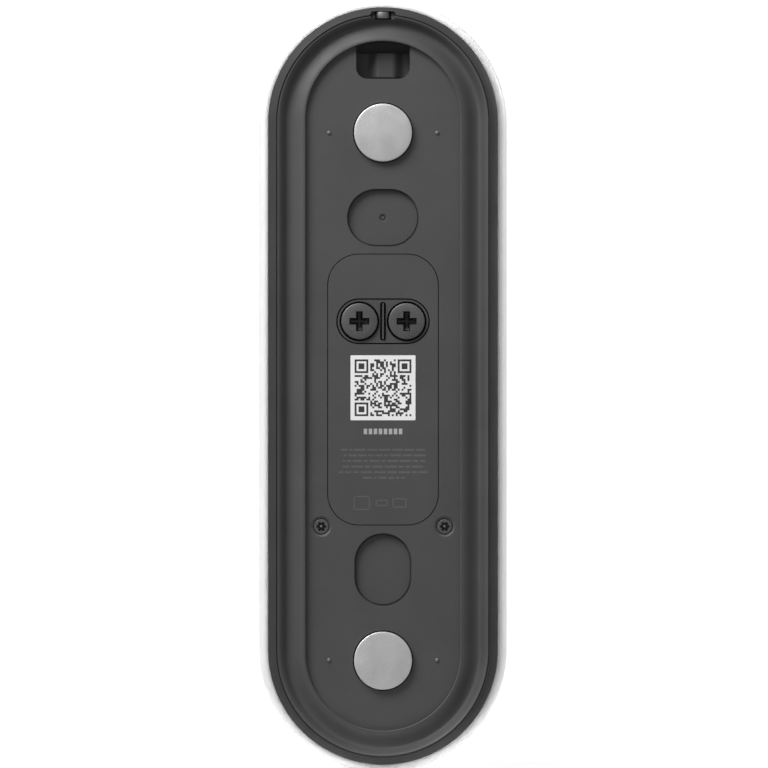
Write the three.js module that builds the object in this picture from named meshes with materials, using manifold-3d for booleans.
// A wired, pill-shaped video doorbell as an assembly of separate parts. Millimetres, +Z up.
// The long axis is Z, the width is X, the front faces -Y and the back faces +Y. The origin is the
// centre of the plane that the back rests against, so every part lies at y <= 0.

import * as THREE from 'three';
import { mergeVertices } from 'three/addons/utils/BufferGeometryUtils.js';
import Module from 'manifold-3d';

const wasm = await Module();
wasm.setup();

// ---- Driving dimensions -------------------------------------------------------------------------

const WIDTH = 42;
const HEIGHT = 131.1;
const DEPTH = 26;
const GAP = 0.3; // between parts that touch, all through the assembly
const CUT = 0.5; // how far a cutting tool runs past the surface that it opens

const OVERLAP = 0.1; // how far two shapes reach into each other before they are joined
const PILL_SIDES = 40; // facets round the two ends of a pill together
const HIDDEN_PILL_SIDES = 24;
const ROUND_SIDES = 24;
const MEDIUM_SIDES = 20;
const SMALL_SIDES = 12;

// Radii of the pill outlines, from the outside in.
const SHELL_R = WIDTH / 2;
const SHELL_INNER_R = SHELL_R - 1.8;
const RIM_R = 19.45;
const RIM_INNER_R = 18;
const COVER_R = RIM_INNER_R - GAP;
const TROUGH_R = 16.1;
const LIP_R = 13.4;
const PLATE_R = 13.1;
const SPINE = (HEIGHT - WIDTH) / 2; // half the straight length of the outermost pill
const SPINE_GROWTH = 0.09; // the rim is slimmer at the ends than at the sides by this share

// Depths along Y, from the back to the front.
const RIM_EDGE_Y = -1.2;
const TROUGH_Y = -1.7;
const LIP_Y = -0.5;
const PLATE_Y = -1.4;
const COVER_INNER_Y = -4.4;
const RIM_BASE_Y = -6.5;
const SEAL_TOP_Y = RIM_BASE_Y - GAP;
const SEAL_BASE_Y = -8;
const FRAME_TOP_Y = SEAL_BASE_Y - GAP;
const FRAME_BASE_Y = -11.5;
const BOARD_TOP_Y = FRAME_BASE_Y - GAP;
const BOARD_THICKNESS = 1.2;
const BOARD_BASE_Y = BOARD_TOP_Y - BOARD_THICKNESS;
const FRONT_WALL = 2.8;
const FRONT_INNER_Y = -DEPTH + FRONT_WALL;

// Features of the back, by their places.
const POCKET = { width: 9.1, bottom: 52.05, reach: 9, depth: 3.3, corner: 1.9 };
const POCKET_WALL = { thickness: 1.2, reach: 7.6 };
const POCKET_TONGUE = { left: 0.85, right: -1.8, depth: 2 };
const HOOK_SLOT = { bottom: 56.4, depth: 4.4 };
const DISC = { radius: 4.9, thickness: 2, proud: 1.1, places: { top: 42.9, bottom: -46.5 } };
const UPPER_OVAL = { z: 28.5, width: 12.2, height: 9.8, depth: 0.85 };
const LOWER_OVAL = { z: -31.1, width: 9.7, height: 12.35, depth: 0.85 };
const LABEL = { z: -0.6, width: 18.6, height: 45.75, corner: 5.2, thickness: 1.2 };
const SERIAL = { z: -0.3, size: 11, thickness: 0.1, lift: 0.02 };
const COVER_SCREW = { x: 10.45, z: -23.8, headR: 1.35, headHeight: 1.3, shankR: 0.9, sunk: 0.2 };
const COVER_SCREW_SEAT = { bossR: 3, floorY: -3.2 };
const NOTCH = { z: 62.78, width: 4.7, height: 1.7, depth: 1.1, shoulder: 0.78 };
const CATCH = { width: 2.4, height: 1.1, topY: -0.45, crown: 0.8, length: 2.55 };
const CATCH_FOOT = { width: 3.4, height: 0.8 };
const CATCH_CHAMBER = { width: 4, height: 1.7, topY: -2.7, floorY: -6.2 };
const RESET = { bossR: 2.4, bossBaseY: -8, pinR: 1.2, pinTopY: -4.7, stemR: 0.7 };
const RESET_TIP = { radius: 0.35, topY: -2.45, holeR: 0.65 };

// Terminals.
const TERMINAL = { z: 10.96, spacing: 8, width: 15.15, height: 7.07 };
const TERMINAL_DEPTH = { topY: -1.6, floorY: -4.5, baseY: -9.5 };
const TERMINAL_FLANGE = { reach: 4, corner: 1.5 };
const TERMINAL_SCREW = { headR: 3.075, topY: -0.9, headHeight: 1.9, shankR: 1.4, tipY: -9.3, chamfer: 0.4 };
const CLAMP = { radius: 3.075, topY: -3.1, thickness: 0.8 };
const TERMINAL_PLATE = { size: 5.8, thickness: 1.8, legWidth: 2, legThickness: 0.8, legBaseY: -10.2 };

// Electronics.
const POWER_BOARD = { width: 24, height: 30, corner: 2, topY: -10.5, thickness: 1 };
const BOARD_SCREW = { x: 13.2, z: 38, headR: 1.9, headHeight: 1.2, shankR: 1, tipY: -9.4 };
const CAMERA_Z = 46;
const CAMERA_BOARD = { size: 20, corner: 2, topY: -16.5, thickness: 1 };
const WINDOW = { z: 33.5, width: 25, height: 50, thickness: 1.1, ledge: 2, ledgeY: -24 };
const SENSOR_BOARD = { z: 25.5, width: 25, height: 17, corner: 1.5, topY: -19.5, thickness: 1 };
const BUTTON = { z: -26, radius: 9.2, flangeR: 10.6, topY: -26.2, baseY: -20.6 };
const LIGHT_RING = { innerR: 9.6, outerR: 11.4, flangeR: 12.8, flange: 1 };
const BUTTON_BOARD = { width: 32, height: 26, corner: 3, topY: -16.6, thickness: 1 };
const SPEAKER = { z: -50.5, radius: 10.5 };

// ---- Helpers ------------------------------------------------------------------------------------

// Merges shared vertices and drops the flat triangles that a turned profile leaves on its axis.
function closedGeometry(geometry) {
  const bare = geometry.clone();
  bare.deleteAttribute('normal');
  bare.deleteAttribute('uv');
  const merged = mergeVertices(bare, 1e-5);
  const index = merged.index.array;
  const kept = [];
  for (let i = 0; i < index.length; i += 3) {
    const [a, b, c] = [index[i], index[i + 1], index[i + 2]];
    if (a !== b && b !== c && c !== a) kept.push(a, b, c);
  }
  merged.setIndex(kept);
  return merged;
}

function toSolid(shape) {
  if (shape instanceof wasm.Manifold) return shape;
  const merged = closedGeometry(shape);
  return new wasm.Manifold(new wasm.Mesh({
    numProp: 3,
    vertProperties: new Float32Array(merged.attributes.position.array),
    triVerts: new Uint32Array(merged.index.array),
  }));
}

function toGeometry(shape) {
  const mesh = toSolid(shape).getMesh();
  const geometry = new THREE.BufferGeometry();
  geometry.setAttribute('position', new THREE.BufferAttribute(mesh.vertProperties, 3));
  geometry.setIndex(new THREE.BufferAttribute(mesh.triVerts, 1));
  geometry.computeVertexNormals();
  return geometry;
}

function join(...shapes) {
  return shapes.map(toSolid).reduce((sum, shape) => sum.add(shape));
}

function cut(base, ...tools) {
  return tools.map(toSolid).reduce((rest, tool) => rest.subtract(tool), toSolid(base));
}

function meet(a, b) {
  return toSolid(a).intersect(toSolid(b));
}

// A profile drawn anticlockwise with x as the radius and y as the depth.
function profile(draw, curveSteps = 2) {
  const path = new THREE.Path();
  draw(path);
  return path.getPoints(curveSteps);
}

function ringProfile(innerR, outerR, frontY, backY) {
  return [[innerR, frontY], [outerR, frontY], [outerR, backY], [innerR, backY], [innerR, frontY]]
    .map(([r, y]) => new THREE.Vector2(r, y));
}

function turned(points, sides = ROUND_SIDES) {
  return new THREE.LatheGeometry(points, sides);
}

// Half the straight length of a pill outline of this radius.
function spineAt(radius) {
  return SPINE + SPINE_GROWTH * (SHELL_R - radius);
}

// A turned profile pulled apart along Z into a pill. The facets are wide enough for the flat sides.
function pill(points, sides = PILL_SIDES) {
  const facetScale = 1 / Math.cos(Math.PI / sides);
  const geometry = new THREE.LatheGeometry(points, sides, Math.PI / sides);
  const position = geometry.attributes.position;
  for (let i = 0; i < position.count; i += 1) {
    const point = points[i % points.length];
    const turn = Math.PI / sides + (Math.floor(i / points.length) / sides) * 2 * Math.PI;
    const shift = Math.sign(Math.cos(turn)) * spineAt(point.x);
    position.setX(i, position.getX(i) * facetScale);
    position.setZ(i, position.getZ(i) * facetScale + shift);
  }
  return geometry;
}

function roundedShape(width, height, corner) {
  const w = width / 2;
  const h = height / 2;
  const shape = new THREE.Shape();
  shape.moveTo(w, -h + corner);
  shape.lineTo(w, h - corner);
  shape.absarc(w - corner, h - corner, corner, 0, Math.PI / 2);
  shape.lineTo(-w + corner, h);
  shape.absarc(-w + corner, h - corner, corner, Math.PI / 2, Math.PI);
  shape.lineTo(-w, -h + corner);
  shape.absarc(-w + corner, -h + corner, corner, Math.PI, 1.5 * Math.PI);
  shape.lineTo(w - corner, -h);
  shape.absarc(w - corner, -h + corner, corner, 1.5 * Math.PI, 2 * Math.PI);
  return shape;
}

// A shape drawn in X and Z, made solid from frontY to backY.
function slab(shape, frontY, backY, z = 0, x = 0, curveSegments = 2) {
  const settings = { depth: backY - frontY, bevelEnabled: false, curveSegments };
  const geometry = new THREE.ExtrudeGeometry(shape, settings);
  geometry.rotateX(Math.PI / 2);
  geometry.translate(x, backY, z);
  return geometry;
}

function stadium(width, height, frontY, backY, z = 0, x = 0) {
  const corner = Math.min(width, height) / 2;
  const curveSegments = corner > 2 ? 3 : 1;
  return slab(roundedShape(width, height, corner), frontY, backY, z, x, curveSegments);
}

function roundedSlab(width, height, corner, frontY, backY, z = 0, x = 0) {
  return slab(roundedShape(width, height, corner), frontY, backY, z, x);
}

function disc(radius, frontY, backY, z = 0, x = 0, sides = ROUND_SIDES) {
  const geometry = new THREE.CylinderGeometry(radius, radius, backY - frontY, sides);
  geometry.translate(x, (frontY + backY) / 2, z);
  return geometry;
}

function block(width, height, frontY, backY, z = 0, x = 0) {
  const geometry = new THREE.BoxGeometry(width, backY - frontY, height);
  geometry.translate(x, (frontY + backY) / 2, z);
  return geometry;
}

function part(name, shape, color, roughness, metalness = 0) {
  const material = new THREE.MeshStandardMaterial({ color, roughness, metalness });
  const mesh = new THREE.Mesh(toGeometry(shape), material);
  mesh.name = name;
  return mesh;
}

function group(x, z, ...children) {
  const result = new THREE.Group();
  result.position.set(x, 0, z);
  result.add(...children);
  return result;
}

// ---- Housing and back ---------------------------------------------------------------------------

const FRONT_ROUND = 5;
const REAR_ROUND_Y = -6;
const SHELL_EDGE_R = 20.05;
const SHELL_EDGE_Y = -1.9;
const RIM_SEAT_R = RIM_R + GAP;
const INNER_ROUND = 3;

function shellProfile() {
  return profile((path) => {
    path.moveTo(0, -DEPTH);
    path.lineTo(SHELL_R - FRONT_ROUND, -DEPTH);
    path.absarc(SHELL_R - FRONT_ROUND, -DEPTH + FRONT_ROUND, FRONT_ROUND, -Math.PI / 2, 0);
    path.lineTo(SHELL_R, REAR_ROUND_Y);
    path.quadraticCurveTo(SHELL_R, SHELL_EDGE_Y - 1, SHELL_EDGE_R, SHELL_EDGE_Y);
    path.lineTo(RIM_SEAT_R, SHELL_EDGE_Y);
    path.lineTo(RIM_SEAT_R, SEAL_TOP_Y);
    path.lineTo(SHELL_INNER_R, SEAL_TOP_Y);
    path.lineTo(SHELL_INNER_R, FRONT_INNER_Y + INNER_ROUND);
    path.quadraticCurveTo(SHELL_INNER_R, FRONT_INNER_Y, SHELL_INNER_R - INNER_ROUND, FRONT_INNER_Y);
    path.lineTo(0, FRONT_INNER_Y);
  });
}

const SUPPORT_RIB = { inner: 17.6, sunk: 0.4, height: 5, z: 30 };
const SENSOR_POST = { x: 11.4, radius: 0.77 };
const BUTTON_POST = { x: 14.6, radius: 1.1 };
const POST_FOOT_Y = FRONT_INNER_Y - 1;
const SPEAKER_SLOT = { width: 1.2, height: 8, spacing: 3, count: 5 };

// The ribs that hold the main board's edge, and the posts under the two smaller boards.
function housingSupports() {
  const supports = [];
  const width = SHELL_INNER_R + SUPPORT_RIB.sunk - SUPPORT_RIB.inner;
  const sensorTop = SENSOR_BOARD.topY - SENSOR_BOARD.thickness - GAP;
  const buttonTop = BUTTON_BOARD.topY - BUTTON_BOARD.thickness - GAP;
  for (const side of [-1, 1]) {
    const ribX = side * (SUPPORT_RIB.inner + width / 2);
    const sensorPlace = [SENSOR_BOARD.z, side * SENSOR_POST.x];
    const buttonPlace = [BUTTON.z, side * BUTTON_POST.x];
    for (const end of [-1, 1]) {
      const ribZ = end * SUPPORT_RIB.z;
      supports.push(block(width, SUPPORT_RIB.height, POST_FOOT_Y, BOARD_TOP_Y, ribZ, ribX));
    }
    supports.push(disc(SENSOR_POST.radius, POST_FOOT_Y, sensorTop, ...sensorPlace, SMALL_SIDES));
    supports.push(disc(BUTTON_POST.radius, POST_FOOT_Y, buttonTop, ...buttonPlace, SMALL_SIDES));
  }
  return supports;
}

function frontHousing() {
  const outside = -DEPTH - CUT;
  const inside = FRONT_INNER_Y + CUT;
  const slots = [];
  for (let i = 0; i < SPEAKER_SLOT.count; i += 1) {
    const x = (i - (SPEAKER_SLOT.count - 1) / 2) * SPEAKER_SLOT.spacing;
    slots.push(stadium(SPEAKER_SLOT.width, SPEAKER_SLOT.height, outside, inside, SPEAKER.z, x));
  }
  const { z, width, height, ledge, ledgeY } = WINDOW;
  return cut(
    join(pill(shellProfile()), ...housingSupports()),
    stadium(width + 2 * GAP, height + 2 * GAP, outside, ledgeY, z),
    stadium(width - 2 * ledge, height - 2 * ledge, ledgeY - CUT, inside, z),
    disc(LIGHT_RING.outerR + GAP, outside, inside, BUTTON.z),
    ...slots,
  );
}

// A hexagonal notch over a straight channel, which opens into the chamber that holds the catch.
function catchRecess() {
  const w = NOTCH.width / 2;
  const h = NOTCH.height / 2;
  const shoulder = w * NOTCH.shoulder;
  const outline = new THREE.Shape();
  outline.moveTo(w, 0);
  outline.lineTo(shoulder, h);
  outline.lineTo(-shoulder, h);
  outline.lineTo(-w, 0);
  outline.lineTo(-shoulder, -h);
  outline.lineTo(shoulder, -h);
  const chamber = CATCH_CHAMBER;
  const channelY = [chamber.topY - OVERLAP, -NOTCH.depth + OVERLAP];
  return join(
    slab(outline, -NOTCH.depth, CUT, NOTCH.z),
    block(CATCH.width + 2 * GAP, chamber.height, ...channelY, NOTCH.z),
    block(chamber.width, chamber.height, chamber.floorY, chamber.topY, NOTCH.z),
  );
}

const RIM_LAND = 0.1; // the narrow flat that meets the wall plate

function rearRim() {
  const points = profile((path) => {
    path.moveTo(RIM_INNER_R, RIM_BASE_Y);
    path.lineTo(RIM_R, RIM_BASE_Y);
    path.lineTo(RIM_R, RIM_EDGE_Y);
    path.lineTo(RIM_INNER_R + RIM_LAND, 0);
    path.lineTo(RIM_INNER_R, 0);
    path.lineTo(RIM_INNER_R, RIM_BASE_Y);
  });
  return cut(pill(points), catchRecess());
}

const COVER_SKIRT = 1.5;
const SHOULDER_Y = -0.2;
const COVE_CURVE_STEPS = 3;
// How far the curves of the cove run level before they bend, from each end of each curve.
const COVE_REACH = { shoulder: 0.6, trough: 0.7, rise: 1, lip: 0.8 };

function coverProfile() {
  const skirtR = COVER_R - COVER_SKIRT;
  const { shoulder, trough, rise, lip } = COVE_REACH;
  return profile((path) => {
    path.moveTo(0, COVER_INNER_Y);
    path.lineTo(skirtR, COVER_INNER_Y);
    path.lineTo(skirtR, RIM_BASE_Y);
    path.lineTo(COVER_R, RIM_BASE_Y);
    path.lineTo(COVER_R, SHOULDER_Y);
    path.bezierCurveTo(COVER_R - shoulder, SHOULDER_Y, TROUGH_R + trough, TROUGH_Y, TROUGH_R, TROUGH_Y);
    path.bezierCurveTo(TROUGH_R - rise, TROUGH_Y, LIP_R + lip, LIP_Y, LIP_R, LIP_Y);
    path.lineTo(PLATE_R, LIP_Y - OVERLAP);
    path.lineTo(PLATE_R, PLATE_Y);
    path.lineTo(0, PLATE_Y);
  }, COVE_CURVE_STEPS);
}

// The pocket that the wall plate's hook enters, trimmed to the plate's round end. A tongue stands
// on its floor, and the hook's tip goes into the deeper slot at the top.
function latchPocket() {
  const { width, bottom, reach, depth, corner } = POCKET;
  const slotFloor = PLATE_Y - HOOK_SLOT.depth;
  const below = slotFloor - CUT;
  const outline = [[0, below], [PLATE_R, below], [PLATE_R, CUT], [0, CUT]];
  const limit = pill(outline.map(([r, y]) => new THREE.Vector2(r, y)));
  const tongueWidth = POCKET_TONGUE.left - POCKET_TONGUE.right;
  const tongueX = (POCKET_TONGUE.left + POCKET_TONGUE.right) / 2;
  const tongueY = [PLATE_Y - depth - CUT, PLATE_Y - POCKET_TONGUE.depth];
  const slotZ = HOOK_SLOT.bottom + reach / 2;
  const hollow = join(
    cut(
      roundedSlab(width, reach, corner, PLATE_Y - depth, CUT, bottom + reach / 2),
      block(tongueWidth, reach, ...tongueY, bottom + reach / 2, tongueX),
    ),
    block(width, reach, slotFloor, CUT, slotZ),
  );
  return meet(limit, hollow);
}

function latchPocketWall() {
  const { width, bottom, corner } = POCKET;
  const { thickness, reach } = POCKET_WALL;
  const size = [width + 2 * thickness, reach + 2 * thickness];
  const wallY = [PLATE_Y - HOOK_SLOT.depth - thickness, COVER_INNER_Y + CUT];
  return roundedSlab(...size, corner + thickness, ...wallY, bottom + reach / 2);
}

// Where the screws and the reset button pass through the cover: the bosses, and the bores in them.
function coverBosses() {
  const bosses = [];
  const bores = [];
  const root = COVER_INNER_Y + CUT;
  for (const side of [-1, 1]) {
    const { x, z, headR, shankR } = COVER_SCREW;
    const { bossR, floorY } = COVER_SCREW_SEAT;
    const bossBase = FRAME_TOP_Y + GAP;
    bosses.push(disc(bossR, bossBase, root, z, side * x, SMALL_SIDES));
    bores.push(disc(headR + GAP, floorY, CUT, z, side * x, SMALL_SIDES));
    bores.push(disc(shankR + GAP, bossBase - CUT, CUT, z, side * x, SMALL_SIDES));
  }
  const { bossR, bossBaseY, pinR } = RESET;
  bosses.push(disc(bossR, bossBaseY, root, UPPER_OVAL.z, 0, SMALL_SIDES));
  bores.push(disc(pinR + GAP, bossBaseY - CUT, COVER_INNER_Y, UPPER_OVAL.z, 0, SMALL_SIDES));
  bores.push(disc(RESET_TIP.holeR, COVER_INNER_Y - CUT, CUT, UPPER_OVAL.z, 0, SMALL_SIDES));
  return { bosses, bores };
}

function rearCover() {
  const { bosses, bores } = coverBosses();
  const cuts = [latchPocket(), catchRecess(), ...bores];
  for (const z of Object.values(DISC.places)) {
    cuts.push(disc(DISC.radius + GAP, PLATE_Y + DISC.proud - DISC.thickness - GAP, CUT, z));
  }
  for (const oval of [UPPER_OVAL, LOWER_OVAL]) {
    cuts.push(stadium(oval.width, oval.height, PLATE_Y - oval.depth, CUT, oval.z));
  }
  const { width, height, corner, thickness, z } = LABEL;
  const labelFloor = PLATE_Y - thickness - GAP;
  cuts.push(roundedSlab(width + 2 * GAP, height + 2 * GAP, corner + GAP, labelFloor, CUT, z));
  const collar = [TERMINAL.width + 2 * GAP, TERMINAL.height + 2 * GAP];
  cuts.push(stadium(...collar, COVER_INNER_Y - CUT, CUT, TERMINAL.z));
  return cut(join(pill(coverProfile()), latchPocketWall(), ...bosses), ...cuts);
}

function labelPlate() {
  const { width, height, corner, thickness, z } = LABEL;
  return cut(
    roundedSlab(width, height, corner, PLATE_Y - thickness, PLATE_Y, z),
    stadium(TERMINAL.width + 2 * GAP, TERMINAL.height + 2 * GAP, COVER_INNER_Y, CUT, TERMINAL.z),
  );
}

function serialLabel() {
  const baseY = PLATE_Y + SERIAL.lift;
  return block(SERIAL.size, SERIAL.size, baseY, baseY + SERIAL.thickness, SERIAL.z);
}

function metalDisc(z) {
  const backY = PLATE_Y + DISC.proud;
  return disc(DISC.radius, backY - DISC.thickness, backY, z);
}

const SIX_LOBE = { radius: 0.78, waist: 0.55, depth: 0.8, corners: 12 };

// The six-lobe socket of a small security screw.
function sixLobeSocket(backY) {
  const outline = new THREE.Shape();
  for (let i = 0; i < SIX_LOBE.corners; i += 1) {
    const angle = (i / SIX_LOBE.corners) * 2 * Math.PI;
    const radius = i % 2 === 0 ? SIX_LOBE.radius : SIX_LOBE.waist;
    const point = [radius * Math.cos(angle), radius * Math.sin(angle)];
    if (i === 0) outline.moveTo(...point);
    else outline.lineTo(...point);
  }
  return slab(outline, backY - SIX_LOBE.depth, backY + CUT);
}

function coverScrew() {
  const { headR, headHeight, shankR, sunk } = COVER_SCREW;
  const backY = PLATE_Y - sunk;
  const headBase = backY - headHeight;
  const screw = join(
    disc(headR, headBase, backY, 0, 0, SMALL_SIDES),
    disc(shankR, FRAME_BASE_Y + CUT, headBase + OVERLAP, 0, 0, SMALL_SIDES),
  );
  return cut(screw, sixLobeSocket(backY));
}

const SEAL_INNER_R = 16.5;

function rearSeal() {
  return pill(ringProfile(SEAL_INNER_R, SHELL_INNER_R - GAP, SEAL_BASE_Y, SEAL_TOP_Y));
}

const FRAME_INNER_R = 16.4;
const LUG_OUTER = FRAME_INNER_R + CUT;
const COVER_LUG = { inner: 7.6, height: 6, baseY: -10.9 };
const BOARD_LUG = { inner: 11, height: 5, topY: -9 };

function innerFrame() {
  const ring = pill(ringProfile(FRAME_INNER_R, SHELL_INNER_R - GAP, FRAME_BASE_Y, FRAME_TOP_Y));
  const lugs = [];
  const holes = [];
  for (const side of [-1, 1]) {
    const coverWidth = LUG_OUTER - COVER_LUG.inner;
    const coverX = side * (COVER_LUG.inner + coverWidth / 2);
    const { x, z, shankR } = COVER_SCREW;
    lugs.push(block(coverWidth, COVER_LUG.height, COVER_LUG.baseY, FRAME_TOP_Y, z, coverX));
    holes.push(disc(shankR + GAP, FRAME_BASE_Y, CUT, z, side * x, SMALL_SIDES));
    for (const end of [-1, 1]) {
      const boardWidth = LUG_OUTER - BOARD_LUG.inner;
      const boardX = side * (BOARD_LUG.inner + boardWidth / 2);
      const boardZ = end * BOARD_SCREW.z;
      const holeR = BOARD_SCREW.shankR + GAP;
      lugs.push(block(boardWidth, BOARD_LUG.height, FRAME_BASE_Y, BOARD_LUG.topY, boardZ, boardX));
      holes.push(disc(holeR, FRAME_BASE_Y - CUT, CUT, boardZ, side * BOARD_SCREW.x, SMALL_SIDES));
    }
  }
  return cut(join(ring, ...lugs), ...holes);
}

function housingGroup() {
  const { x, z } = COVER_SCREW;
  return group(
    0,
    0,
    part('front_housing', frontHousing(), 0xeceded, 0.5),
    part('rear_rim', rearRim(), 0x2b2b2c, 0.6),
    part('rear_cover', rearCover(), 0x333334, 0.65),
    part('label_plate', labelPlate(), 0x323233, 0.65),
    part('serial_label', serialLabel(), 0xd8d8d8, 0.7),
    part('metal_disc_top', metalDisc(DISC.places.top), 0xb4b4b4, 0.45, 1),
    part('metal_disc_bottom', metalDisc(DISC.places.bottom), 0xb4b4b4, 0.45, 1),
    part('rear_seal', rearSeal(), 0x202020, 0.9),
    part('inner_frame', innerFrame(), 0x3a3a3c, 0.7),
    group(x, z, part('cover_screw_left', coverScrew(), 0x2a2a2a, 0.4, 1)),
    group(-x, z, part('cover_screw_right', coverScrew(), 0x2a2a2a, 0.4, 1)),
  );
}

// ---- Release catch and reset button -------------------------------------------------------------

// A rounded head on a wider foot, which keeps it in its chamber.
function releaseCatch() {
  const { width, height, topY, crown, length } = CATCH;
  const w = width / 2;
  const footTop = topY - length;
  const outline = new THREE.Shape();
  outline.moveTo(w, footTop - OVERLAP);
  outline.lineTo(w, topY - crown);
  outline.bezierCurveTo(w, topY - crown / 2, w / 2, topY, 0, topY);
  outline.bezierCurveTo(-w / 2, topY, -w, topY - crown / 2, -w, topY - crown);
  outline.lineTo(-w, footTop - OVERLAP);
  const settings = { depth: height, bevelEnabled: false, curveSegments: 3 };
  const head = new THREE.ExtrudeGeometry(outline, settings);
  head.translate(0, 0, -height / 2);
  return join(head, block(CATCH_FOOT.width, height, footTop - CATCH_FOOT.height, footTop));
}

class Helix extends THREE.Curve {
  constructor(radius, turns, frontY, backY) {
    super();
    Object.assign(this, { radius, turns, frontY, backY });
  }

  getPoint(t, target = new THREE.Vector3()) {
    const angle = t * this.turns * 2 * Math.PI;
    const y = this.frontY + t * (this.backY - this.frontY);
    return target.set(this.radius * Math.cos(angle), y, this.radius * Math.sin(angle));
  }
}

const RELEASE_SPRING = { radius: 0.5, wireR: 0.1, turns: 3, stepsPerTurn: 9, sides: 5 };

function releaseSpring() {
  const { radius, wireR, turns, stepsPerTurn, sides } = RELEASE_SPRING;
  const catchFoot = CATCH.topY - CATCH.length - CATCH_FOOT.height;
  const path = new Helix(radius, turns, CATCH_CHAMBER.floorY + GAP, catchFoot - GAP);
  const section = new THREE.Shape();
  for (let i = 0; i < sides; i += 1) {
    const angle = (i / sides) * 2 * Math.PI;
    const point = [wireR * Math.cos(angle), wireR * Math.sin(angle)];
    if (i === 0) section.moveTo(...point);
    else section.lineTo(...point);
  }
  return new THREE.ExtrudeGeometry(section, { steps: turns * stepsPerTurn, extrudePath: path });
}

const RESET_STEM_Y = { shoulder: -9, tip: -9.8 };
const RESET_SWITCH = { size: 4, topY: -10.5 };

// A stepped pin: its thin tip shows in the hole, and its stem stands over the switch.
function resetButton() {
  return join(
    disc(RESET_TIP.radius, RESET.pinTopY - OVERLAP, RESET_TIP.topY, 0, 0, SMALL_SIDES),
    disc(RESET.pinR, RESET_STEM_Y.shoulder, RESET.pinTopY, 0, 0, SMALL_SIDES),
    disc(RESET.stemR, RESET_STEM_Y.tip, RESET_STEM_Y.shoulder + OVERLAP, 0, 0, SMALL_SIDES),
  );
}

function resetSwitch() {
  return block(RESET_SWITCH.size, RESET_SWITCH.size, BOARD_TOP_Y + GAP, RESET_SWITCH.topY);
}

function controlGroup() {
  return group(
    0,
    0,
    group(
      0,
      NOTCH.z,
      part('release_catch', releaseCatch(), 0xb9b9b9, 0.35, 1),
      part('release_spring', releaseSpring(), 0xc4c4c4, 0.3, 1),
    ),
    group(
      0,
      UPPER_OVAL.z,
      part('reset_button', resetButton(), 0x4a4a4a, 0.6),
      part('reset_switch', resetSwitch(), 0x1c1c1c, 0.5),
    ),
  );
}

// ---- Terminals ----------------------------------------------------------------------------------

const RIB = { width: 0.3, height: 6.1, topY: -1.2 };
const RIB_SLOT = { width: 1, height: 6.7, depth: 2.2 };
const SCREW_X = TERMINAL.spacing / 2;
const THREAD_CLEARANCE = TERMINAL_SCREW.shankR + GAP;
const LEG_Z = -TERMINAL_PLATE.size / 2 + TERMINAL_PLATE.legThickness / 2;

// A collar that fills the opening in the label plate, on a block behind the cover. It has a round
// well for each screw head and a slot between them, with a thin rib standing in it.
function terminalBase() {
  const { width, height } = TERMINAL;
  const { topY, floorY, baseY } = TERMINAL_DEPTH;
  const { reach, corner } = TERMINAL_FLANGE;
  const blockTop = COVER_INNER_Y - GAP;
  const body = join(
    stadium(width, height, blockTop - OVERLAP, topY),
    roundedSlab(width + reach, height + reach, corner, baseY, blockTop),
  );
  const slotFloor = topY - RIB_SLOT.depth;
  const cuts = [stadium(RIB_SLOT.width, RIB_SLOT.height, slotFloor, 0)];
  for (const side of [-1, 1]) {
    const x = side * SCREW_X;
    const pocket = TERMINAL_PLATE.size + 2 * GAP;
    const pocketFloor = floorY - TERMINAL_PLATE.thickness - GAP;
    const legSlot = [TERMINAL_PLATE.legWidth + 2 * GAP, TERMINAL_PLATE.legThickness + 2 * GAP];
    cuts.push(disc(TERMINAL_SCREW.headR + GAP, floorY, 0, 0, x));
    cuts.push(block(pocket, pocket, pocketFloor, floorY + OVERLAP, 0, x));
    cuts.push(disc(THREAD_CLEARANCE, baseY - CUT, 0, 0, x, SMALL_SIDES));
    cuts.push(block(...legSlot, baseY - CUT, pocketFloor + OVERLAP, LEG_Z, x));
  }
  return join(cut(body, ...cuts), block(RIB.width, RIB.height, slotFloor - OVERLAP, RIB.topY));
}

function terminalPlate() {
  const { size, thickness, legWidth, legThickness, legBaseY } = TERMINAL_PLATE;
  const backY = TERMINAL_DEPTH.floorY;
  const plate = join(
    block(size, size, backY - thickness, backY),
    block(legWidth, legThickness, legBaseY, backY - thickness / 2, LEG_Z),
  );
  return cut(plate, disc(THREAD_CLEARANCE, legBaseY, 0, 0, 0, SMALL_SIDES));
}

function clampWasher() {
  const frontY = CLAMP.topY - CLAMP.thickness;
  return turned(ringProfile(THREAD_CLEARANCE, CLAMP.radius, frontY, CLAMP.topY), MEDIUM_SIDES);
}

const CROSS = { span: 3.4, width: 1.1, depth: 1.1 };
const HEAD_ROUND = { across: 0.6, down: 0.45, crown: 0.05 };

function terminalScrew() {
  const { headR, topY, headHeight, shankR, tipY, chamfer } = TERMINAL_SCREW;
  const { across, down, crown } = HEAD_ROUND;
  const headBase = topY - headHeight;
  const edgeY = topY - crown;
  const points = profile((path) => {
    path.moveTo(0, tipY);
    path.lineTo(shankR - chamfer, tipY);
    path.lineTo(shankR, tipY + chamfer);
    path.lineTo(shankR, headBase);
    path.lineTo(headR, headBase);
    path.lineTo(headR, edgeY - down);
    path.quadraticCurveTo(headR, edgeY, headR - across, edgeY);
    path.lineTo(0, topY);
  });
  const floor = topY - CROSS.depth;
  return cut(
    turned(points, MEDIUM_SIDES),
    block(CROSS.span, CROSS.width, floor, 0),
    block(CROSS.width, CROSS.span, floor, 0),
  );
}

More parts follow.
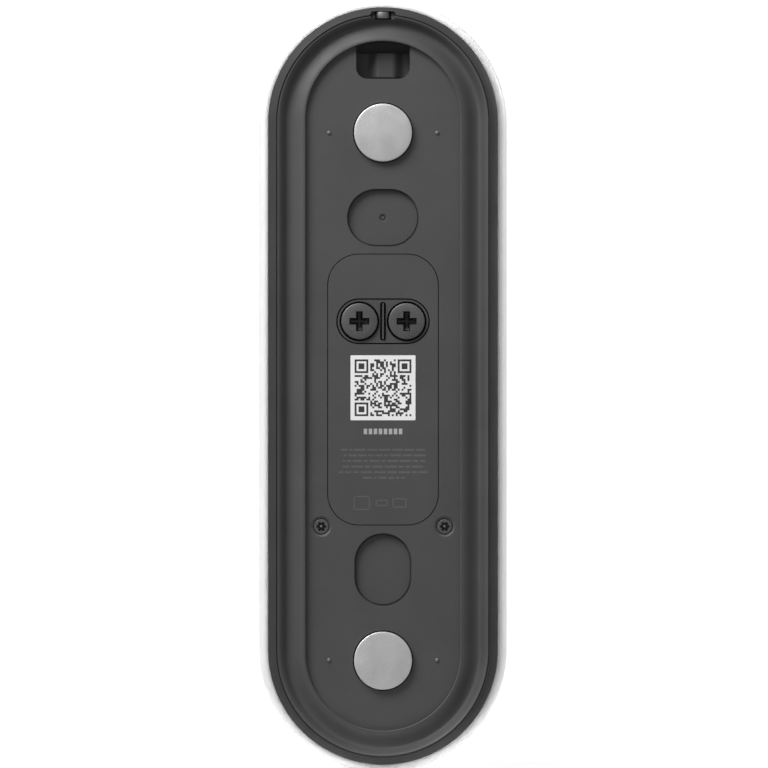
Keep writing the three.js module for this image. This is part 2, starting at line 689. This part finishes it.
function terminalGroup() {
  const sides = { left: SCREW_X, right: -SCREW_X };
  const columns = Object.entries(sides).map(([side, x]) => group(
    x,
    0,
    part(`terminal_plate_${side}`, terminalPlate(), 0xb5a26a, 0.4, 1),
    part(`clamp_washer_${side}`, clampWasher(), 0x8a8a8a, 0.4, 1),
    part(`terminal_screw_${side}`, terminalScrew(), 0x3a3a3a, 0.35, 1),
  ));
  return group(0, TERMINAL.z, part('terminal_base', terminalBase(), 0x242425, 0.6), ...columns);
}

// ---- Boards -------------------------------------------------------------------------------------

const SHIELD = { size: 16, corner: 1, height: 1.2, z: 3 };
const PAD = { size: 14, thickness: 0.6 };
const SPREADER = { width: 28, height: 24, corner: 2, thickness: 0.8 };
const CAPACITOR = { radius: 3.2, length: 24, z: -36, y: -8.3 };
const CAPACITOR_GROOVE = { inset: 2, halfWidth: 0.4, depth: 0.3 };
const ANTENNA = { x: -14, z: -6, width: 2.4, height: 16, thickness: 0.8 };

function mainBoard() {
  const radius = SUPPORT_RIB.inner - GAP;
  const outline = [[0, BOARD_BASE_Y], [radius, BOARD_BASE_Y], [radius, BOARD_TOP_Y], [0, BOARD_TOP_Y]];
  const holes = [];
  for (const side of [-1, 1]) {
    for (const end of [-1, 1]) {
      const place = [end * BOARD_SCREW.z, side * BOARD_SCREW.x];
      const holeR = BOARD_SCREW.shankR + GAP;
      holes.push(disc(holeR, BOARD_BASE_Y - CUT, 0, ...place, SMALL_SIDES));
    }
  }
  const board = pill(outline.map(([r, y]) => new THREE.Vector2(r, y)), HIDDEN_PILL_SIDES);
  return cut(board, ...holes);
}

const BOARD_SCREW_CROSS = { span: 1.9, width: 0.5, depth: 0.6 };

// A screw driven from the front, so its head is its front end.
function boardScrew() {
  const { headR, headHeight, shankR, tipY } = BOARD_SCREW;
  const { span, width, depth } = BOARD_SCREW_CROSS;
  const headBack = BOARD_BASE_Y - GAP;
  const headFront = headBack - headHeight;
  return cut(
    join(
      disc(headR, headFront, headBack, 0, 0, SMALL_SIDES),
      disc(shankR, headBack - OVERLAP, tipY, 0, 0, SMALL_SIDES),
    ),
    block(span, width, headFront - CUT, headFront + depth),
    block(width, span, headFront - CUT, headFront + depth),
  );
}

function boardScrewGroups() {
  const { x, z } = BOARD_SCREW;
  const places = [[x, z], [-x, z], [x, -z], [-x, -z]];
  return places.map((place, i) => group(
    ...place,
    part(`board_screw_${i + 1}`, boardScrew(), 0xa8a8a8, 0.4, 1),
  ));
}

function backupCapacitor() {
  const { radius, length, z, y } = CAPACITOR;
  const { inset, halfWidth, depth } = CAPACITOR_GROOVE;
  const end = length / 2;
  const groove = profile((path) => {
    path.moveTo(0, -end);
    path.lineTo(radius, -end);
    path.lineTo(radius, end - inset - halfWidth);
    path.lineTo(radius - depth, end - inset);
    path.lineTo(radius, end - inset + halfWidth);
    path.lineTo(radius, end);
    path.lineTo(0, end);
  });
  const geometry = turned(groove, MEDIUM_SIDES);
  geometry.rotateX(Math.PI / 2);
  geometry.translate(0, y, z);
  return geometry;
}

// The shield, the gap filler on it and the spreader, one in front of the other.
function coolingStack() {
  const { size, corner, z } = SHIELD;
  const shieldTop = BOARD_BASE_Y - GAP;
  const padTop = shieldTop - SHIELD.height - GAP;
  const spreaderTop = padTop - PAD.thickness - GAP;
  const shield = roundedSlab(size, size, corner, shieldTop - SHIELD.height, shieldTop, z);
  const pad = block(PAD.size, PAD.size, padTop - PAD.thickness, padTop, z);
  const { width, height, thickness } = SPREADER;
  const spreaderY = [spreaderTop - thickness, spreaderTop];
  const spreader = roundedSlab(width, height, SPREADER.corner, ...spreaderY, z);
  return [
    part('processor_shield', shield, 0xb0b3b6, 0.4, 1),
    part('thermal_pad', pad, 0x8f9db0, 0.9),
    part('heat_spreader', spreader, 0xc0c2c4, 0.4, 1),
  ];
}

function antenna() {
  const frontY = BOARD_TOP_Y + GAP;
  const { width, height, thickness, z, x } = ANTENNA;
  return block(width, height, frontY, frontY + thickness, z, x);
}

function powerBoard() {
  const { width, height, corner, topY, thickness } = POWER_BOARD;
  return roundedSlab(width, height, corner, topY - thickness, topY, TERMINAL.z);
}

function boardGroup() {
  return group(
    0,
    0,
    part('main_board', mainBoard(), 0x1f4a34, 0.6),
    part('power_board', powerBoard(), 0x1f4a34, 0.6),
    ...boardScrewGroups(),
    ...coolingStack(),
    part('backup_capacitor', backupCapacitor(), 0x23344f, 0.4),
    part('antenna', antenna(), 0xd9d2bf, 0.6),
  );
}

// ---- Camera and sensors -------------------------------------------------------------------------

const LENS_RING = { innerR: 5.6, outerR: 7.4, frontY: -26.4, baseY: -24.6, funnel: 0.6, chamfer: 0.3 };
const LENS_GLASS_R = LENS_RING.innerR - GAP;
const LENS_GLASS = { rise: 0.9, edge: 0.4, sunk: 0.2 };
const BARREL = { innerR: 2.4, noseR: 4.8, bodyR: 6, noseLength: 2, taper: 0.4, gapToBoard: 1.9 };
const IMAGE_SENSOR = { size: 8, thickness: 1.1 };
const WINDOW_SEAL_WIDTH = 1.4;
const FLEX = { width: 6, thickness: 0.3, inset: 3, pad: 4, slope: 2, foot: 5 };
const MICROPHONE = { z: 17.6 - CAMERA_Z, width: 3.5, height: 2.6, thickness: 1.1, portR: 0.6 };
const MICROPHONE_SEAL = { radius: 1.5, sides: 16 };
const INFRARED = { x: 6, z: 32 - CAMERA_Z, radius: 1.6, body: 1.4 };
const LIGHT_SENSOR = { z: 24 - CAMERA_Z, size: 2.4, height: 0.9 };

// Everything in this group is placed from the camera's axis.
function cameraWindow() {
  const z = WINDOW.z - CAMERA_Z;
  const backY = -DEPTH + WINDOW.thickness;
  const outside = -DEPTH - CUT;
  return cut(
    stadium(WINDOW.width, WINDOW.height, -DEPTH, backY, z),
    disc(LENS_RING.outerR + GAP, outside, 0),
    disc(MICROPHONE.portR, outside, 0, MICROPHONE.z, 0, SMALL_SIDES),
  );
}

function windowSeal() {
  const z = WINDOW.z - CAMERA_Z;
  const backY = WINDOW.ledgeY - GAP;
  const frontY = -DEPTH + WINDOW.thickness + GAP;
  const width = WINDOW.width - 2 * GAP;
  const height = WINDOW.height - 2 * GAP;
  const opening = [width - 2 * WINDOW_SEAL_WIDTH, height - 2 * WINDOW_SEAL_WIDTH];
  return cut(stadium(width, height, frontY, backY, z), stadium(...opening, frontY - CUT, 0, z));
}

function lensRing() {
  const { innerR, outerR, frontY, baseY, funnel, chamfer } = LENS_RING;
  return turned(profile((path) => {
    path.moveTo(innerR, baseY);
    path.lineTo(innerR, frontY + funnel);
    path.lineTo(innerR + funnel, frontY);
    path.lineTo(outerR - chamfer, frontY);
    path.lineTo(outerR, frontY + chamfer);
    path.lineTo(outerR, baseY);
    path.lineTo(innerR, baseY);
  }));
}

function lensGlass() {
  const { rise, edge, sunk } = LENS_GLASS;
  const backY = LENS_RING.baseY - sunk;
  const sphereR = (LENS_GLASS_R ** 2 + rise ** 2) / (2 * rise);
  const halfAngle = Math.asin(LENS_GLASS_R / sphereR);
  const centreY = backY - edge - rise + sphereR;
  return turned(profile((path) => {
    path.absarc(0, centreY, sphereR, -Math.PI / 2, -Math.PI / 2 + halfAngle);
    path.lineTo(LENS_GLASS_R, backY);
    path.lineTo(0, backY);
  }), MEDIUM_SIDES);
}

function lensBarrel() {
  const { innerR, noseR, bodyR, noseLength, taper, gapToBoard } = BARREL;
  const frontY = LENS_RING.baseY + GAP;
  const backY = CAMERA_BOARD.topY - CAMERA_BOARD.thickness - gapToBoard;
  return turned(profile((path) => {
    path.moveTo(innerR, frontY);
    path.lineTo(noseR, frontY);
    path.lineTo(noseR, frontY + noseLength);
    path.lineTo(bodyR, frontY + noseLength + taper);
    path.lineTo(bodyR, backY);
    path.lineTo(innerR, backY);
    path.lineTo(innerR, frontY);
  }));
}

// A flat flexible strip from the camera board down to the main board, bent twice.
function cameraFlex() {
  const { width, thickness, inset, pad, slope, foot } = FLEX;
  const cameraY = CAMERA_BOARD.topY + GAP;
  const boardY = BOARD_BASE_Y - GAP - thickness;
  const start = -CAMERA_BOARD.size / 2 + inset;
  const bend = start - pad;
  const landing = bend - slope;
  const outline = new THREE.Shape();
  outline.moveTo(start, cameraY);
  outline.lineTo(start, cameraY + thickness);
  outline.lineTo(bend, cameraY + thickness);
  outline.lineTo(landing, boardY + thickness);
  outline.lineTo(landing - foot, boardY + thickness);
  outline.lineTo(landing - foot, boardY);
  outline.lineTo(landing - thickness, boardY);
  outline.lineTo(bend - thickness, cameraY);
  const geometry = new THREE.ExtrudeGeometry(outline, { depth: width, bevelEnabled: false });
  geometry.rotateY(-Math.PI / 2);
  geometry.translate(width / 2, 0, 0);
  return geometry;
}

function cameraBoard() {
  const { size, corner, topY, thickness } = CAMERA_BOARD;
  return roundedSlab(size, size, corner, topY - thickness, topY);
}

function imageSensor() {
  const { size, thickness } = IMAGE_SENSOR;
  const backY = CAMERA_BOARD.topY - CAMERA_BOARD.thickness - GAP;
  return block(size, size, backY - thickness, backY);
}

function sensorBoard() {
  const { width, height, corner, topY, thickness, z } = SENSOR_BOARD;
  return roundedSlab(width, height, corner, topY - thickness, topY, z - CAMERA_Z);
}

const SENSOR_BACK_Y = SENSOR_BOARD.topY - SENSOR_BOARD.thickness - GAP;
const MICROPHONE_FRONT_Y = SENSOR_BACK_Y - MICROPHONE.thickness;

function lightSensor() {
  const { size, z, height } = LIGHT_SENSOR;
  return block(size, size, SENSOR_BACK_Y - height, SENSOR_BACK_Y, z);
}

function microphone() {
  const { width, height, z } = MICROPHONE;
  return block(width, height, MICROPHONE_FRONT_Y, SENSOR_BACK_Y, z);
}

// The soft tube that leads sound from the port in the window to the microphone.
function microphoneSeal() {
  const { radius, sides } = MICROPHONE_SEAL;
  const seal = turned(ringProfile(
    MICROPHONE.portR,
    radius,
    -DEPTH + WINDOW.thickness + GAP,
    MICROPHONE_FRONT_Y - GAP,
  ), sides);
  seal.translate(0, 0, MICROPHONE.z);
  return seal;
}

function infraredLed() {
  const { radius, body } = INFRARED;
  const domeY = SENSOR_BACK_Y - body;
  return turned(profile((path) => {
    path.moveTo(0, domeY - radius);
    path.absarc(0, domeY, radius, -Math.PI / 2, 0);
    path.lineTo(radius, SENSOR_BACK_Y);
    path.lineTo(0, SENSOR_BACK_Y);
  }), SMALL_SIDES);
}

function cameraGroup() {
  return group(
    0,
    CAMERA_Z,
    part('camera_window', cameraWindow(), 0x08090a, 0.08),
    part('window_seal', windowSeal(), 0x1a1a1a, 0.9),
    part('lens_ring', lensRing(), 0x1b1c1e, 0.25, 0.6),
    part('lens_glass', lensGlass(), 0x0b0f18, 0.03),
    part('lens_barrel', lensBarrel(), 0x141414, 0.4),
    part('image_sensor', imageSensor(), 0x3b3f4a, 0.3),
    part('camera_board', cameraBoard(), 0x1f4a34, 0.6),
    part('camera_flex', cameraFlex(), 0x9a5a1e, 0.5),
    part('sensor_board', sensorBoard(), 0x1f4a34, 0.6),
    part('light_sensor', lightSensor(), 0xcfcfc4, 0.3),
    part('microphone', microphone(), 0xb8b49a, 0.4, 1),
    part('microphone_seal', microphoneSeal(), 0x1a1a1a, 0.9),
    group(INFRARED.x, INFRARED.z, part('infrared_led_left', infraredLed(), 0x2a1a2e, 0.1)),
    group(-INFRARED.x, INFRARED.z, part('infrared_led_right', infraredLed(), 0x2a1a2e, 0.1)),
  );
}

// ---- Button -------------------------------------------------------------------------------------

const CAP_DISH = { depth: 0.5, edge: 0.5, bend: 0.6 };
const CAP_INSIDE = { wallR: 8, pinR: 3, ceiling: 2.3, flange: 1 };
const BOOT = { footR: 10.6, footWidth: 2.4, wall: 0.7, padR: 3.5, pad: 1, topY: -20.6, baseY: -17.9 };
const SWITCH = { size: 6, topY: -18.9, boreR: 1.9, boreDepth: 0.8 };
const PLUNGER = { radius: 1.6, proud: 0.4, sunk: 0.2 };
const RING_LED = { count: 3, offset: 12, size: 1.5, height: 0.9 };

// A dished cap with a flange that keeps it in, and a pin that bears on the rubber boot.
function buttonCap() {
  const { radius, flangeR, topY, baseY } = BUTTON;
  const { depth, edge, bend } = CAP_DISH;
  const { wallR, pinR, ceiling, flange } = CAP_INSIDE;
  return turned(profile((path) => {
    path.moveTo(0, topY + depth);
    path.quadraticCurveTo(radius * bend, topY + depth, radius - edge, topY);
    path.quadraticCurveTo(radius, topY, radius, topY + edge);
    path.lineTo(radius, baseY - flange);
    path.lineTo(flangeR, baseY - flange);
    path.lineTo(flangeR, baseY);
    path.lineTo(wallR, baseY);
    path.lineTo(wallR, topY + ceiling);
    path.lineTo(pinR, topY + ceiling);
    path.lineTo(pinR, baseY - GAP);
    path.lineTo(0, baseY - GAP);
  }));
}

function lightRing() {
  const { innerR, outerR, flangeR, flange } = LIGHT_RING;
  const flangeTop = FRONT_INNER_Y + GAP;
  return turned(profile((path) => {
    path.moveTo(innerR, -DEPTH);
    path.lineTo(outerR, -DEPTH);
    path.lineTo(outerR, flangeTop);
    path.lineTo(flangeR, flangeTop);
    path.lineTo(flangeR, flangeTop + flange);
    path.lineTo(innerR, flangeTop + flange);
    path.lineTo(innerR, -DEPTH);
  }));
}

// A rubber dome with a thick pad over the switch and a foot on the board.
function buttonBoot() {
  const { footR, footWidth, wall, padR, pad, topY, baseY } = BOOT;
  return turned(profile((path) => {
    path.moveTo(0, topY);
    path.lineTo(padR, topY);
    path.lineTo(footR - footWidth + wall / 2, baseY - pad);
    path.lineTo(footR, baseY - wall);
    path.lineTo(footR, baseY);
    path.lineTo(footR - footWidth, baseY);
    path.lineTo(padR, topY + pad);
    path.lineTo(0, topY + pad);
  }), MEDIUM_SIDES);
}

function buttonSwitch() {
  return cut(
    block(SWITCH.size, SWITCH.size, SWITCH.topY, BOOT.baseY),
    disc(SWITCH.boreR, SWITCH.topY - CUT, SWITCH.topY + SWITCH.boreDepth, 0, 0, SMALL_SIDES),
  );
}

function switchPlunger() {
  const { radius, proud, sunk } = PLUNGER;
  return disc(radius, SWITCH.topY - proud, SWITCH.topY + sunk, 0, 0, SMALL_SIDES);
}

function buttonBoard() {
  const { width, height, corner, topY, thickness } = BUTTON_BOARD;
  return roundedSlab(width, height, corner, topY - thickness, topY);
}

function ringLeds() {
  const { count, offset, size, height } = RING_LED;
  const backY = BUTTON_BOARD.topY - BUTTON_BOARD.thickness - GAP;
  const leds = [];
  for (let i = 0; i < count; i += 1) {
    const angle = Math.PI / 2 + (i / count) * 2 * Math.PI;
    const led = part(`ring_led_${i + 1}`, block(size, size, backY - height, backY), 0xf2efd8, 0.3);
    leds.push(group(offset * Math.cos(angle), offset * Math.sin(angle), led));
  }
  return leds;
}

function buttonGroup() {
  return group(
    0,
    BUTTON.z,
    part('button_cap', buttonCap(), 0xe6e7e8, 0.4),
    part('button_light_ring', lightRing(), 0xf4f6f8, 0.3),
    part('button_boot', buttonBoot(), 0xb9bec4, 0.9),
    part('button_switch', buttonSwitch(), 0x1c1c1c, 0.5),
    part('switch_plunger', switchPlunger(), 0xd8d0b8, 0.5),
    part('button_board', buttonBoard(), 0x1f4a34, 0.6),
    ...ringLeds(),
  );
}

// ---- Speaker ------------------------------------------------------------------------------------

const BASKET = { innerR: 6.9, wallR: 8.9, frontY: -22, floorY: -18.7, backY: -17.5 };
const CONE = { radius: 8.6, coilInnerR: 4.3, coilOuterR: 4.8, thickness: 0.4, roll: 1 };
const CONE_Y = { cap: -21.2, roll: -21.3, coil: -17.6 };
const MAGNET = { radius: 6.5, frontY: -18.4, backY: -15.2 };
const MAGNET_GROOVE = { innerR: 3.9, outerR: 5.2, floorY: -16.2 };
const SPEAKER_SEAL_INNER_R = 9;

function speakerFrame() {
  const { innerR, wallR, frontY, floorY, backY } = BASKET;
  return turned(profile((path) => {
    path.moveTo(innerR, floorY);
    path.lineTo(wallR, floorY);
    path.lineTo(wallR, frontY);
    path.lineTo(SPEAKER.radius, frontY);
    path.lineTo(SPEAKER.radius, backY);
    path.lineTo(innerR, backY);
    path.lineTo(innerR, floorY);
  }));
}

// A domed cap, a rolled surround and the tube of the voice coil.
function speakerCone() {
  const { radius, coilInnerR, coilOuterR, thickness, roll } = CONE;
  const surroundR = (radius + coilOuterR) / 2;
  return turned(profile((path) => {
    path.moveTo(0, CONE_Y.cap);
    path.lineTo(coilOuterR, CONE_Y.cap);
    path.quadraticCurveTo(surroundR, CONE_Y.roll - roll, radius, CONE_Y.roll);
    path.lineTo(radius, CONE_Y.roll + thickness);
    path.quadraticCurveTo(surroundR, CONE_Y.roll + thickness - roll, coilOuterR, CONE_Y.cap + thickness);
    path.lineTo(coilOuterR, CONE_Y.coil);
    path.lineTo(coilInnerR, CONE_Y.coil);
    path.lineTo(coilInnerR, CONE_Y.cap + thickness);
    path.lineTo(0, CONE_Y.cap + thickness);
  }), MEDIUM_SIDES);
}

function speakerMagnet() {
  const { radius, frontY, backY } = MAGNET;
  const { innerR, outerR, floorY } = MAGNET_GROOVE;
  return turned(profile((path) => {
    path.moveTo(0, frontY);
    path.lineTo(innerR, frontY);
    path.lineTo(innerR, floorY);
    path.lineTo(outerR, floorY);
    path.lineTo(outerR, frontY);
    path.lineTo(radius, frontY);
    path.lineTo(radius, backY);
    path.lineTo(0, backY);
  }), MEDIUM_SIDES);
}

function speakerSeal() {
  const rings = [SPEAKER_SEAL_INNER_R, SPEAKER.radius, FRONT_INNER_Y + GAP, BASKET.frontY - GAP];
  return turned(ringProfile(...rings), MEDIUM_SIDES);
}

function speakerGroup() {
  return group(
    0,
    SPEAKER.z,
    part('speaker_frame', speakerFrame(), 0x222222, 0.6),
    part('speaker_cone', speakerCone(), 0x3a3a3a, 0.7),
    part('speaker_magnet', speakerMagnet(), 0x8b8d90, 0.35, 1),
    part('speaker_seal', speakerSeal(), 0x1a1a1a, 0.9),
  );
}

const doorbell = group(
  0,
  0,
  housingGroup(),
  controlGroup(),
  terminalGroup(),
  boardGroup(),
  cameraGroup(),
  buttonGroup(),
  speakerGroup(),
);

export default doorbell;
